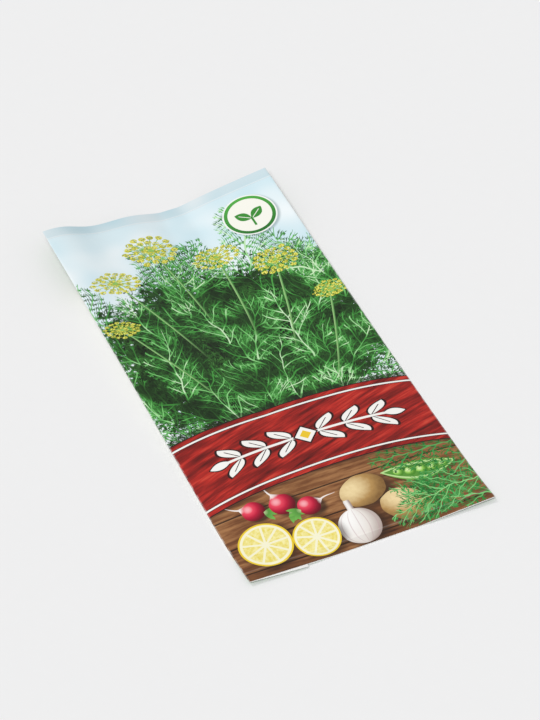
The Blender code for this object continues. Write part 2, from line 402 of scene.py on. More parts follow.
class Number:
    """A value that a node gives, so that a pattern can be written as a formula."""

    def __init__(self, socket):
        self.socket = socket

    def __abs__(self):
        return maths("ABSOLUTE", self)

    __add__ = operator("ADD")
    __radd__ = operator("ADD", swapped=True)
    __sub__ = operator("SUBTRACT")
    __rsub__ = operator("SUBTRACT", swapped=True)
    __mul__ = operator("MULTIPLY")
    __rmul__ = operator("MULTIPLY", swapped=True)
    __truediv__ = operator("DIVIDE")
    __rtruediv__ = operator("DIVIDE", swapped=True)
    __lt__ = operator("LESS_THAN")
    __gt__ = operator("GREATER_THAN")


def plug(tree, socket, value):
    """Gives an input its value: a node's output, or a plain number or colour."""
    if isinstance(value, Number):
        tree.links.new(value.socket, socket)
    elif isinstance(value, tuple) and len(value) == 3 and socket.type == "RGBA":
        socket.default_value = (*value, 1)
    else:
        socket.default_value = value


def tree_of(*values):
    """The node tree that the values belong to."""
    return next(value.socket.id_data for value in values if isinstance(value, Number))


def maths(operation, *values):
    """The result of a Math node."""
    tree = tree_of(*values)
    node = tree.nodes.new("ShaderNodeMath")
    node.operation = operation
    for socket, value in zip(node.inputs, values):
        plug(tree, socket, value)
    return Number(node.outputs[0])


floor = functools.partial(maths, "FLOOR")
sine = functools.partial(maths, "SINE")
cosine = functools.partial(maths, "COSINE")


def greatest(*values):
    return functools.reduce(functools.partial(maths, "MAXIMUM"), values)


def least(*values):
    return functools.reduce(functools.partial(maths, "MINIMUM"), values)


def length_of(x, y):
    return maths("SQRT", x * x + y * y)


def oval(x, y, half_width, half_height):
    """How far out a point is, as a share of the way to an oval's edge."""
    return length_of(x * (1 / half_width), y * (1 / half_height))


def turned(x, y, angle):
    """A place seen along a line turned from rightward by a plain angle: along it, and off to its left."""
    return x * math.cos(angle) + y * math.sin(angle), y * math.cos(angle) - x * math.sin(angle)


def leaned(x, y, way):
    """A place seen along a line that leans to the right of upward: along it, and off to its right.

    The way is the sine and cosine of the lean. Used on its own result, this gives the first place back.
    """
    sine_of_lean, cosine_of_lean = way
    return x * sine_of_lean + y * cosine_of_lean, x * cosine_of_lean - y * sine_of_lean


def way_of(lean):
    """The sine and cosine of a plain angle."""
    return math.sin(lean), math.cos(lean)


def dots(x, y, size):
    """A scatter of dots about size apart. Gives the distance from the nearest dot, and its random number."""
    tree = tree_of(x, y)
    place = tree.nodes.new("ShaderNodeCombineXYZ")
    plug(tree, place.inputs[0], x)
    plug(tree, place.inputs[1], y)
    node = tree.nodes.new("ShaderNodeTexVoronoi")
    node.voronoi_dimensions = "2D"
    node.inputs["Scale"].default_value = 1 / size
    tree.links.new(place.outputs[0], node.inputs["Vector"])
    split = tree.nodes.new("ShaderNodeSeparateColor")
    tree.links.new(node.outputs["Color"], split.inputs[0])
    return Number(node.outputs["Distance"]), Number(split.outputs[0])


def ease(value, low, high):
    """0 below low, 1 above high and a smooth step between. Low may be above high, which turns it round."""
    tree = tree_of(value)
    node = tree.nodes.new("ShaderNodeMapRange")
    node.interpolation_type = "SMOOTHSTEP"
    for title, number in (("Value", value), ("From Min", low), ("From Max", high)):
        plug(tree, node.inputs[title], number)
    return Number(node.outputs["Result"])


# What each of a cell's whole numbers adds to the place where its random numbers are read
CELL_STRIDES = (7.31, 131.17, 17.93)


def chances(x, y, z):
    """Three random numbers for a cell that has the whole numbers x, y and z."""
    place = x * CELL_STRIDES[0] + y * CELL_STRIDES[1] + z * CELL_STRIDES[2]
    tree = tree_of(place)
    node = tree.nodes.new("ShaderNodeTexWhiteNoise")
    node.noise_dimensions = "1D"
    plug(tree, node.inputs["W"], place)
    split = tree.nodes.new("ShaderNodeSeparateColor")
    tree.links.new(node.outputs["Color"], split.inputs[0])
    return [Number(output) for output in split.outputs]


def after(value, colour):
    """The same value, worked out only after the colour. A shader can hold few values at once."""
    return value + maths("MULTIPLY", colour, 1e-6)


def map_place(tree, title):
    """The two numbers of a point's place on one of the mesh's maps."""
    node = tree.nodes.new("ShaderNodeAttribute")
    node.attribute_name = title
    split = tree.nodes.new("ShaderNodeSeparateXYZ")
    tree.links.new(node.outputs["Vector"], split.inputs[0])
    return Number(split.outputs[0]), Number(split.outputs[1])


class Canvas:
    """A point's place on a printed panel, in millimetres from its middle, and noise fixed to the panel."""

    def __init__(self, tree):
        self.tree = tree
        self.place = tree.nodes.new("ShaderNodeUVMap")
        self.place.uv_map = PRINT_MAP
        self.x, self.y = ((number - 0.5) * (LENGTH / MM) for number in map_place(tree, PRINT_MAP))

    def after(self, colour):
        """The same canvas for the next thing to be painted, once the colour below it is known."""
        later = copy.copy(self)
        later.x = after(self.x, colour)
        later.y = after(self.y, colour)
        return later

    def noise(self, across, along, seed, detail=2.0, roughness=0.5, turn=0.0, slice_at=None):
        """Smooth noise from about 0 to 1, with blobs of about the given size, turned by an angle."""
        mapping = self.tree.nodes.new("ShaderNodeMapping")
        mapping.vector_type = "TEXTURE"
        mapping.inputs["Location"].default_value = (0.5, 0.5, seed)
        mapping.inputs["Rotation"].default_value = (0, 0, turn)
        mapping.inputs["Scale"].default_value = (across * MM / LENGTH, along * MM / LENGTH, 1)
        self.tree.links.new(self.place.outputs["UV"], mapping.inputs["Vector"])
        node = self.tree.nodes.new("ShaderNodeTexNoise")
        node.inputs["Scale"].default_value = 1
        node.inputs["Detail"].default_value = detail
        node.inputs["Roughness"].default_value = roughness
        self.tree.links.new(mapping.outputs["Vector"], node.inputs["Vector"])
        if slice_at is not None:
            node.noise_dimensions = "4D"
            plug(self.tree, node.inputs["W"], slice_at)
        return Number(node.outputs[0])

    def warped(self, size, reach, seed, detail):
        """The point's place, pushed up to half the reach each way in waves of about the given size."""
        return [
            place + (self.noise(size, size, at, detail) - 0.5) * reach
            for place, at in ((self.x, seed), (self.y, seed + 7.0))]


def paint(under, cover, over):
    """Colour under with colour over laid on it where cover is 1."""
    tree = tree_of(under, cover, over)
    node = tree.nodes.new("ShaderNodeMix")
    node.data_type = "RGBA"
    inputs = [socket for socket in node.inputs if socket.enabled]
    for socket, value in zip(inputs, (cover, under, over)):
        plug(tree, socket, value)
    return Number(next(socket for socket in node.outputs if socket.enabled))


def dimmed(colour, share):
    """The colour with only a share of its brightness."""
    tree = tree_of(colour, share)
    node = tree.nodes.new("ShaderNodeVectorMath")
    node.operation = "SCALE"
    plug(tree, node.inputs[0], colour)
    plug(tree, node.inputs["Scale"], share)
    return Number(node.outputs[0])


def shades(value, *stops):
    """A colour for each value, through stops of (value, colour)."""
    tree = tree_of(value)
    node = tree.nodes.new("ShaderNodeValToRGB")
    ramp = node.color_ramp
    while len(ramp.elements) < len(stops):
        ramp.elements.new(0.5)
    for element, (place, colour) in zip(ramp.elements, stops):
        element.position = place
        element.color = (*colour, 1)
    plug(tree, node.inputs["Fac"], value)
    return Number(node.outputs["Color"])


def formula_group(name, inputs, formula):
    """Makes a node group from a formula, which gets a Number for each input and returns outputs by name."""
    tree = bpy.data.node_groups.new(name, "ShaderNodeTree")
    for title in inputs:
        tree.interface.new_socket(title, in_out="INPUT", socket_type="NodeSocketFloat")
    source = tree.nodes.new("NodeGroupInput")
    results = formula(*[Number(source.outputs[title]) for title in inputs])
    for title in results:
        tree.interface.new_socket(title, in_out="OUTPUT", socket_type="NodeSocketFloat")
    sink = tree.nodes.new("NodeGroupOutput")
    for title, value in results.items():
        tree.links.new(value.socket, sink.inputs[title])


def use_group(name, *values):
    """Adds a group to the tree that the values belong to, and returns its outputs in order."""
    tree = tree_of(*values)
    node = tree.nodes.new("ShaderNodeGroup")
    node.node_tree = bpy.data.node_groups[name]
    for socket, value in zip(node.inputs, values):
        plug(tree, socket, value)
    return [Number(output) for output in node.outputs]


# Colours that several things in the print share
LEAF_GREEN = (0.045, 0.270, 0.035)
SOFT_WHITE = (0.93, 0.92, 0.86)
CLEAN_WHITE = (0.93, 0.92, 0.88)
WARM_YELLOW = (0.93, 0.66, 0.04)
DARK_RIM = (0.03, 0.008, 0.008)
SHADOW_BROWN = (0.03, 0.015, 0.008)

# A frond of dill: a stalk, side stalks, threads and small threads, each level branching off the one before
SIDE_SPACING = 5.0
SIDE_ANGLE = math.radians(40)
THREAD_SPACING = 2.1
THREAD_ANGLE = math.radians(36)
TWIG_SPACING = 1.5
TWIG_ANGLE = math.radians(34)
TWIG_LENGTH = 0.9
STALK_HALF_WIDTH = 0.26
STALK_TAPER = 0.005
SIDE_HALF_WIDTH = 0.18
THREAD_HALF_WIDTH = 0.15
TWIG_HALF_WIDTH = 0.12

# How fronds are dealt out over the print: one in each cell of a tilted brickwork, within an oval
CELL_LENGTH = 38.0
CELL_WIDTH = 21.0
GREENS_X = 0.0
GREENS_Y = 9.0
GREENS_HALF_WIDTH = 58.0
GREENS_HALF_HEIGHT = 47.0
BUNCH_Y = -62.0
FROND_LAYERS = 18
FROND_RANDOM = 5
FAN = 1.2


def branches(along, off, spacing, angle, shift):
    """Branches that leave a line on both sides at an angle. off is the distance from the line, 0 or more.

    Gives the distance along the nearest branch, the distance off it, its number and the side the point is on.
    """
    place = (along - off * (1 / math.tan(angle))) * (1 / spacing) + shift
    number = floor(place)
    signed = (place - number - 0.5) * (spacing * math.sin(angle))
    return off * (1 / math.sin(angle)), abs(signed), number, signed > 0


def frond_formula(along, across, length, bend):
    """How fully a frond covers a point, and how bright it is there. The stalk starts at along 0."""
    side = across - bend * along * along
    off = abs(side)
    stalk = (off < (STALK_HALF_WIDTH - along * STALK_TAPER)) * (along > 0) * (along < length)
    out, off_side, number, upper = branches(along, off, SIDE_SPACING, SIDE_ANGLE, 0.5 * (side > 0))
    share = (number * SIDE_SPACING + 0.5 * SIDE_SPACING) / length
    inside = (share > 0.02) * (share < 0.98)
    reach = length * 0.92 * maths("SQRT", greatest(share, 0.0)) * (1.02 - share)
    sides = (off_side < SIDE_HALF_WIDTH) * (out < reach)
    thread_out, off_thread, thread, thread_upper = branches(
        out, off_side, THREAD_SPACING, THREAD_ANGLE, 0.5 * upper)
    left = reach - thread * THREAD_SPACING
    room = SIDE_SPACING * math.sin(SIDE_ANGLE) / 2 / math.sin(THREAD_ANGLE)
    thread_reach = least(left * 0.75, room * 0.97)
    threads = (off_thread < THREAD_HALF_WIDTH) * (thread_out < thread_reach) * (thread > -0.5)
    twig_out, off_twig, _, _ = branches(thread_out, off_thread, TWIG_SPACING, TWIG_ANGLE, 0.5 * thread_upper)
    on_thread = (thread_out < thread_reach * 1.05) * (thread > -0.5)
    twigs = (off_twig < TWIG_HALF_WIDTH) * (twig_out < TWIG_LENGTH) * on_thread
    cover = greatest(stalk, greatest(sides, threads, twigs) * inside)
    glow = chances(number, thread, side > 0)[0]
    bright = greatest(stalk * 1.0, sides * inside * 0.85, 0.25 + 0.5 * glow)
    return {"Cover": cover, "Bright": bright}


def from_greens(x, y):
    """How far out a place is, as a share of the way to the edge of the foliage."""
    return oval(x - GREENS_X, y - GREENS_Y, GREENS_HALF_WIDTH, GREENS_HALF_HEIGHT)


def frond_layer_formula(x, y, turn, shift_x, shift_y, seed):
    """One layer of fronds, all leaning about the same way, kept where that way suits the bunch."""
    way = (sine(turn), cosine(turn))
    along, across = leaned(x - shift_x, y - shift_y, way)
    column = floor(across * (1 / CELL_WIDTH))
    slid = along + column * (CELL_LENGTH / 2)
    row = floor(slid * (1 / CELL_LENGTH))
    first, second, third = chances(column, row, seed)
    centre_along = (row + 0.5) * CELL_LENGTH - column * (CELL_LENGTH / 2)
    centre_across = (column + 0.5) * CELL_WIDTH
    from_x, from_y = leaned(centre_along, centre_across, way)
    centre_x, centre_y = from_x + shift_x, from_y + shift_y
    wanted_turn = maths("ARCTAN2", centre_x, centre_y - BUNCH_Y)
    fits = abs(wanted_turn - turn) < (0.45 + 0.25 * first)
    near = from_greens(centre_x, centre_y) < (0.84 + 0.24 * second)
    local_along = slid - row * CELL_LENGTH - 1.0 - second * 2
    local_across = across - centre_across + (third - 0.5) * 2.5
    length = 30 + 4 * first
    cover, bright = use_group("frond", local_along, local_across, length, (third - 0.5) * 0.012)
    return {"Cover": cover * fits * near, "Bright": bright * (0.75 + 0.25 * second)}


def object_noise(tree, size, detail):
    """Smooth noise in space, with blobs of about the given size in metres."""
    place = tree.nodes.new("ShaderNodeTexCoord")
    node = tree.nodes.new("ShaderNodeTexNoise")
    node.inputs["Scale"].default_value = 1 / size
    node.inputs["Detail"].default_value = detail
    tree.links.new(place.outputs["Object"], node.inputs["Vector"])
    return Number(node.outputs[0])


def new_material(name):
    """A new material, its node tree and its shader."""
    made = bpy.data.materials.new(name)
    made.use_nodes = True
    shader = made.node_tree.nodes["Principled BSDF"]
    return made, made.node_tree, shader


def laminate(canvas, shader):
    """The clear film over the ink: a satin gloss with a faint unevenness."""
    tree = canvas.tree
    film = canvas.noise(1.3, 1.3, 5.0, 3.0)
    plug(tree, shader.inputs["Roughness"], 0.30 + film * 0.08)
    shader.inputs["Specular IOR Level"].default_value = 0.4
    bump = tree.nodes.new("ShaderNodeBump")
    bump.inputs["Strength"].default_value = 0.12
    bump.inputs["Distance"].default_value = 0.02 * MM
    plug(tree, bump.inputs["Height"], film)
    tree.links.new(bump.outputs["Normal"], shader.inputs["Normal"])


def frond_layers(x, y, colour, light, dimmest):
    """Lays layers of fronds on the colour, from the farthest and darkest to the nearest and brightest."""
    draw = random.Random(FROND_RANDOM)
    turns = [FAN * (2 * index / (FROND_LAYERS - 1) - 1) for index in range(FROND_LAYERS)]
    draw.shuffle(turns)
    for index, turn in enumerate(turns):
        depth = index / (FROND_LAYERS - 1)
        cover, bright = use_group(
            "frond_layer", after(x, colour), after(y, colour), turn,
            draw.uniform(-20, 20), draw.uniform(-20, 20), float(index))
        leaf = shades(
            bright * (dimmest + (1 - dimmest) * depth) * light,
            (0.0, (0.004, 0.010, 0.003)), (0.25, (0.020, 0.080, 0.014)),
            (0.52, (0.055, 0.310, 0.048)), (0.80, (0.215, 0.600, 0.185)), (1.0, (0.600, 0.840, 0.520)))
        colour = paint(colour, cover, leaf)
    return colour


# The threads deep in the foliage: their lean, and how far back they are, from 0 at the back
DEEP_THREADS = [(0.9, 0.0), (-0.7, 0.35), (0.1, 0.6), (-1.2, 0.8), (0.5, 1.0)]


def deep_threads(canvas, colour, ground, light):
    """Fine curly threads in the shade between the fronds: the level lines of a stretched noise."""
    for number, (turn, depth) in enumerate(DEEP_THREADS):
        hills = canvas.noise(1.5, 3.6, 70.0 + 5.0 * number, 1.0, turn=turn)
        thread = ease(abs(hills - 0.5), 0.052, 0.024)
        green = shades(hills, (0.45, (0.026, 0.100, 0.016)), (0.55, (0.060, 0.230, 0.040)))
        colour = paint(colour, thread * ground, dimmed(green, (0.15 + 0.75 * depth) * light))
    return colour


def greens(canvas, colour):
    """The feathery foliage: fronds that fan out from the foot of the bunch, over a dark mottled ground."""
    warp_x, warp_y = canvas.warped(13.0, 7.0, 1.0, 1.0)
    mottled = canvas.noise(8.0, 8.0, 3.0, 3.0)
    spread = from_greens(warp_x, warp_y) + (mottled - 0.5) * 0.5
    ragged = canvas.noise(1.6, 1.6, 13.0, 3.0)
    ground = ease(spread + (ragged - 0.5) * 0.7, 0.80, 0.74)
    dark = shades(mottled, (0.35, (0.006, 0.007, 0.004)), (0.65, (0.010, 0.022, 0.006)))
    lit = 0.25 + 0.85 * ease(mottled, 0.44, 0.62)
    colour = deep_threads(canvas, paint(colour, ground, dark), ground, lit)
    outer = ease(spread, 0.62, 0.86)
    light = 0.40 + 1.0 * ease(canvas.noise(10.0, 10.0, 12.0, 1.0), 0.30, 0.66)
    return frond_layers(warp_x, warp_y, colour, greatest(light, outer), 0.16 + 0.54 * outer)


def polar_fold(x, y, count):
    """Turns a point into the first of count equal sectors. Gives the place in it and the sector's number."""
    turn = maths("ARCTAN2", y, x) * (count / math.tau)
    number = floor(turn)
    angle = (turn - number - 0.5) * (math.tau / count)
    far = length_of(x, y)
    return far * cosine(angle), far * sine(angle), number


# The rounds of small heads in a dill flower: how many, how far out, and how wide, as shares of its radius
UMBEL_ROUNDS = [(17, 0.83, 0.150), (11, 0.53, 0.145), (5, 0.22, 0.140)]


def umbel_formula(x, y, radius, seed):
    """A dill flower seen from above: rounds of thin rays, each with a small head of flowers at its end."""
    rays, heads = 0.0, 0.0
    for count, share, size in UMBEL_ROUNDS:
        along, off, ray = polar_fold(x, y, count)
        reach = chances(ray, seed, float(count))[0]
        ray_length = radius * share * (0.88 + 0.24 * reach)
        rays = greatest(rays, (abs(off) < 0.14) * (along < ray_length))
        heads = greatest(heads, ease(length_of(along - ray_length, off), radius * size, radius * size * 0.75))
    return {"Rays": rays, "Heads": heads}


# Where the flowers stand over the greens: across, along, radius, and how much they are seen from the side
UMBELS = [
    (-27.0, 50.0, 8.5, 1.5), (-9.5, 62.0, 9.5, 1.25), (9.0, 52.0, 8.0, 1.6),
    (25.0, 41.5, 8.0, 1.3), (-33.5, 29.0, 6.5, 1.7), (35.0, 22.0, 6.0, 1.5)]
UMBEL_STEM = 45.0
STEM_HALF_WIDTH = 0.36


def umbels(canvas, colour):
    """Yellow flowers on pale stems that rise from the bunch."""
    for number, (at_x, at_y, radius, tilt) in enumerate(UMBELS):
        x, y = after(canvas.x, colour), after(canvas.y, colour)
        below = at_y - y
        stem_x = at_x * (1 - below * 0.012) + sine(below * 0.06) * 1.2
        off = (x - stem_x) * (1 / STEM_HALF_WIDTH)
        stem = (abs(off) < 1) * (below > 0) * ease(below, UMBEL_STEM, UMBEL_STEM * 0.5)
        rounded = shades(off * 0.5 + 0.5, (0.1, (0.36, 0.62, 0.24)), (0.9, (0.06, 0.24, 0.05)))
        colour = paint(colour, stem, rounded)
        from_x, from_y = x - at_x, (y - at_y) * tilt
        rays, heads = use_group("umbel", from_x, from_y, radius, float(number))
        colour = paint(colour, rays, (0.30, 0.55, 0.12))
        flower, hue = dots(from_x, from_y, 0.62)
        petals = shades(
            hue * 0.5 + ease(flower, 0.62, 0.10) * 0.5,
            (0.15, (0.14, 0.22, 0.02)), (0.45, (0.62, 0.58, 0.03)), (0.9, (0.97, 0.92, 0.25)))
        colour = paint(colour, (heads > 0.5) * (flower < 0.66), petals)
    return colour


def shadow(canvas, colour, at_x, at_y, half_width, half_height, depth):
    """A soft dark patch under a thing on the table."""
    far = oval(canvas.x - at_x - 1.2, canvas.y - at_y + 1.0, half_width, half_height)
    return paint(colour, ease(far, 1.3, 0.8) * depth, SHADOW_BROWN)


TABLE_TOP = -34.0
PLANK = 11.0
PLANK_GAP = 0.28


def table(canvas, colour):
    """The brown boards of a kitchen table, with their grain running across."""
    y = canvas.y
    row = floor(y * (1 / PLANK))
    hue, _, _ = chances(row, 3.0, 7.0)
    grain = canvas.noise(9.0, 1.3, 4.0, 4.0, 0.6, slice_at=row * 3.7)
    streak = canvas.noise(22.0, 1.2, 9.0, 2.0, slice_at=row * 5.1)
    wood = shades(
        grain * 0.75 + streak * 0.45 + hue * 0.25 - 0.25,
        (0.15, (0.045, 0.014, 0.006)), (0.40, (0.200, 0.075, 0.026)),
        (0.60, (0.400, 0.190, 0.075)), (0.85, (0.660, 0.420, 0.210)))
    gap = abs(y - (row + 0.5) * PLANK) > PLANK / 2 - PLANK_GAP
    wood = paint(wood, gap * 0.85, (0.015, 0.006, 0.003))
    return paint(colour, y < TABLE_TOP, wood)


def ball_shade(from_x, from_y, low, high):
    """Light on a rounded thing, lit from its upper left."""
    return ease(length_of(from_x + 0.35, from_y - 0.35), high, low)


def lemon_slice(canvas, colour, at_x, at_y, radius):
    """A round slice of lemon: rind, pith and nine segments."""
    colour = shadow(canvas, colour, at_x, at_y, radius, radius, 0.75)
    from_x, from_y = canvas.x - at_x, canvas.y - at_y
    far = length_of(from_x, from_y) * (1 / radius)
    pulp = canvas.noise(0.9, 0.9, at_x, 3.0)
    colour = paint(colour, far < 1, (0.86, 0.62, 0.03))
    colour = paint(colour, far < 0.93, (0.93, 0.90, 0.66))
    along, off, _ = polar_fold(from_x, from_y, 9)
    gap = along * math.tan(math.pi / 9) - abs(off)
    flesh = (gap > 0.38) * (far < 0.83) * (far > 0.10)
    juice = shades(pulp, (0.3, (0.80, 0.66, 0.10)), (0.7, (0.95, 0.88, 0.42)))
    return paint(colour, flesh, juice)


def potato(canvas, colour, at_x, at_y, half_width, half_height, turn):
    """A smooth new potato with a speckled skin."""
    colour = shadow(canvas, colour, at_x, at_y, half_width, half_height, 0.8)
    along, off = turned(canvas.x - at_x, canvas.y - at_y, turn)
    along, off = along * (1 / half_width), off * (1 / half_height)
    body = length_of(along, off) + (canvas.noise(6.0, 6.0, at_x, 1.0) - 0.5) * 0.2
    skin = canvas.noise(1.4, 1.4, at_y, 4.0)
    light = ball_shade(along, off, 0.1, 1.5) * 0.8 + skin * 0.25
    tan = shades(light, (0.0, (0.13, 0.055, 0.015)), (0.45, (0.46, 0.27, 0.09)), (0.95, (0.88, 0.70, 0.38)))
    return paint(colour, body < 0.96, tan)


def garlic(canvas, colour, at_x, at_y, radius):
    """A white garlic bulb: a round body that narrows to its stalk, with its cloves' edges as faint lines."""
    colour = shadow(canvas, colour, at_x, at_y, radius * 1.1, radius, 0.8)
    across, up = (canvas.x - at_x) * (1 / radius), (canvas.y - at_y) * (1 / radius)
    half = maths("SQRT", greatest(1 - up * up, 0.0))
    neck = 0.13 + ease(up, 1.55, 0.35) * 0.9
    body = (abs(across) < least(greatest(half, (up > 0.5) * 0.16), neck * 1.1)) * (up < 1.55)
    lean = across * (1 / greatest(least(half, neck), 0.1))
    clove = abs(maths("FRACT", lean * 2.4 + 0.5) - 0.5)
    light = ball_shade(lean * 0.8, up * 0.5, 0.0, 1.5)
    white = shades(light, (0.0, (0.36, 0.27, 0.24)), (0.5, (0.80, 0.75, 0.70)), (1.0, (0.97, 0.96, 0.94)))
    white = paint(white, ease(clove, 0.10, 0.02) * 0.45, (0.50, 0.34, 0.36))
    return paint(colour, body, white)


def leaf_shape(along, off, length, half_width):
    """Whether a point is on a pointed leaf that starts at 0."""
    share = along * (1 / length)
    return abs(off) < share * (1 - share) * (4 * half_width)


PEA_SPACING = 3.6


def pea_pod(canvas, colour, at_x, at_y, turn, length):
    """An open pale green pod with its row of five peas."""
    along, off = turned(canvas.x - at_x, canvas.y - at_y, turn)
    off = off + sine(along * (math.pi / length)) * 1.8 - 1.2
    colour = paint(colour, leaf_shape(along - 0.6, off + 0.9, length * 1.02, 4.3) * 0.6, SHADOW_BROWN)
    colour = paint(colour, leaf_shape(along, off, length, 3.9), (0.16, 0.42, 0.06))
    colour = paint(colour, leaf_shape(along, off, length, 3.3), (0.50, 0.74, 0.30))
    colour = paint(colour, leaf_shape(along - 1.0, off, length - 2.0, 2.5), (0.10, 0.30, 0.04))
    number = floor(along * (1 / PEA_SPACING))
    from_pea = along - (number + 0.5) * PEA_SPACING
    size = (number > 0.5) * (number < 5.5) * (1.80 - 0.14 * abs(number - 3.0))
    light = ball_shade(from_pea * 0.6, off * 0.6, 0.0, 1.3)
    green = shades(light, (0.0, (0.07, 0.26, 0.02)), (0.5, (0.30, 0.62, 0.10)), (1.0, (0.72, 0.90, 0.42)))
    return paint(colour, length_of(from_pea, off) < size, green)


BANNER_MIDDLE = -37.0
BANNER_HALF_HEIGHT = 14.5
BANNER_RISE = 3.6
BANNER_LINE = 2.0


def banner(canvas, colour):
    """A red banner, arched and streaked like stained wood, with a white leaf garland."""
    sweep = canvas.x * (1 / 40)
    up = canvas.y - (BANNER_MIDDLE + BANNER_RISE * (1 - sweep * sweep))
    edge = abs(up)
    streak = canvas.noise(17.0, 1.5, 21.0, 4.0, 0.6, turn=0.30)
    broad = canvas.noise(14.0, 5.0, 25.0, 1.0)
    red = shades(
        streak * 1.15 + broad * 0.4 - 0.275,
        (0.25, (0.070, 0.005, 0.004)), (0.48, (0.280, 0.013, 0.010)),
        (0.62, (0.500, 0.024, 0.016)), (0.90, (0.780, 0.115, 0.065)))
    shade = ease(up + BANNER_HALF_HEIGHT + 2.2, 0.0, 2.6)
    colour = paint(colour, (edge < BANNER_HALF_HEIGHT + 2.0) * shade * 0.6, (0.010, 0.012, 0.008))
    colour = paint(colour, edge < BANNER_HALF_HEIGHT + 0.35, (0.020, 0.008, 0.008))
    colour = paint(colour, edge < BANNER_HALF_HEIGHT, red)
    line = abs(edge - (BANNER_HALF_HEIGHT - BANNER_LINE))
    colour = paint(colour, line < 0.55, DARK_RIM)
    colour = paint(colour, line < 0.32, CLEAN_WHITE)
    return garland(canvas.x, up, colour)


GARLAND_SPACING = 8.6
GARLAND_ANGLE = math.radians(44)
GARLAND_LEAF = 8.4
GARLAND_HALF_LENGTH = 32.0


def garland(x, up, colour):
    """Pairs of plain white leaves with dark rims, on a stem that runs both ways from a diamond."""
    out = abs(x)
    stem = (abs(up) < 0.45) * (out < GARLAND_HALF_LENGTH - 1)
    leaf_out, leaf_off, number, _ = branches(out, abs(up), GARLAND_SPACING, GARLAND_ANGLE, 0.0)
    kept = (number > -0.5) * (number < 2.5)
    rim = leaf_shape(leaf_out, leaf_off, GARLAND_LEAF + 0.6, 2.15) * kept
    leaf = leaf_shape(leaf_out - 0.5, leaf_off, GARLAND_LEAF - 0.6, 1.65) * kept
    vein = (leaf_off < 0.14) * (leaf_out < GARLAND_LEAF - 2.4)
    tip = leaf_shape(GARLAND_HALF_LENGTH + 1 - out, up, 8.0, 1.8)
    diamond = out + abs(up)
    colour = paint(colour, greatest(rim, tip), DARK_RIM)
    colour = paint(colour, greatest(leaf * (1 - vein), stem), CLEAN_WHITE)
    colour = paint(colour, leaf_shape(GARLAND_HALF_LENGTH + 0.5 - out, up, 7.0, 1.35), CLEAN_WHITE)
    for size, ink in ((4.2, DARK_RIM), (3.5, CLEAN_WHITE), (1.9, (0.85, 0.58, 0.03))):
        colour = paint(colour, diamond < size, ink)
    return colour


BADGE_X = 26.5
BADGE_Y = 63.5
BADGE_RADIUS = 9.0
SPROUT_LEAN = math.radians(38)


def badge(canvas, colour):
    """A round white badge with a green rim and a plain sprout of two leaves."""
    from_x, from_y = canvas.x - BADGE_X, canvas.y - BADGE_Y
    far = length_of(from_x, from_y)
    shade = ease(length_of(from_x - 0.5, from_y + 0.6), BADGE_RADIUS + 0.8, BADGE_RADIUS - 0.4)
    rim = shades(from_y * 0.06 + 0.5, (0.0, (0.020, 0.160, 0.022)), (1.0, (0.085, 0.420, 0.060)))
    colour = paint(colour, shade * 0.5, (0.10, 0.18, 0.20))
    colour = paint(colour, far < BADGE_RADIUS, (0.93, 0.94, 0.92))
    colour = paint(colour, far < BADGE_RADIUS - 0.5, rim)
    colour = paint(colour, far < BADGE_RADIUS - 1.7, (0.93, 0.92, 0.84))
    return sprout(from_x, from_y, colour)


def sprout(from_x, from_y, colour):
    """A stem with two leaves that lean apart, about 9 mm wide and 8 mm high."""
    side = abs(from_x)
    along, off = turned(side, from_y + 1.8, SPROUT_LEAN)
    leaf = leaf_shape(along, off, 6.0, 1.75)
    stem = (side < 0.38) * (from_y < -1.0) * (from_y > -5.2)
    vein = (abs(off) < 0.13) * (along < 4.6)
    return paint(colour, greatest(leaf * (1 - vein), stem), LEAF_GREEN)


def radish(canvas, colour, at_x, at_y, radius, turn):
    """A round red radish with three leaves and a white tip, whose thin root points along its turn."""
    colour = shadow(canvas, colour, at_x, at_y, radius, radius, 0.8)
    from_x, from_y = (canvas.x - at_x) * (1 / radius), (canvas.y - at_y) * (1 / radius)
    along, off = turned(from_x, from_y, turn)
    taper = greatest(along - 0.50, 0.0)
    body = length_of(along - taper * 0.35, off * (1 + taper * taper * 4.0))
    root = (abs(off + sine(along * 3.0) * 0.06) < 0.14 - along * 0.05) * (along > 0.6) * (along < 2.6)
    red = shades(
        ball_shade(from_x, from_y, 0.0, 1.5),
        (0.0, (0.12, 0.002, 0.010)), (0.45, (0.52, 0.010, 0.045)),
        (0.8, (0.82, 0.060, 0.110)), (1.0, (0.96, 0.42, 0.46)))
    white = shades(0.5 + off, (0.0, (0.60, 0.42, 0.42)), (0.6, (0.94, 0.88, 0.84)))
    skin = paint(red, ease(along + (canvas.noise(1.2, 1.2, at_x, 2.0) - 0.5) * 0.4, 0.72, 1.15), white)
    colour = paint(colour, greatest(body < 1, root), skin)
    for lean in (-0.55, 0.0, 0.55):
        out, side = turned(along + 0.86, off, math.pi - lean)
        green = shades(out, (0.0, (0.50, 0.62, 0.30)), (0.4, (0.09, 0.30, 0.05)), (1.0, (0.16, 0.46, 0.08)))
        colour = paint(colour, leaf_shape(out, side, 1.25, 0.20), green)
    return colour


# Fronds lying on the table: foot across, foot along, lean and length
SPRAY_FRONDS = [
    (42.0, -52.0, -1.75, 30.0),
    (44.0, -60.0, -1.95, 32.0),
    (40.0, -78.0, -1.25, 30.0),
    (43.0, -70.0, -1.50, 34.0),
]


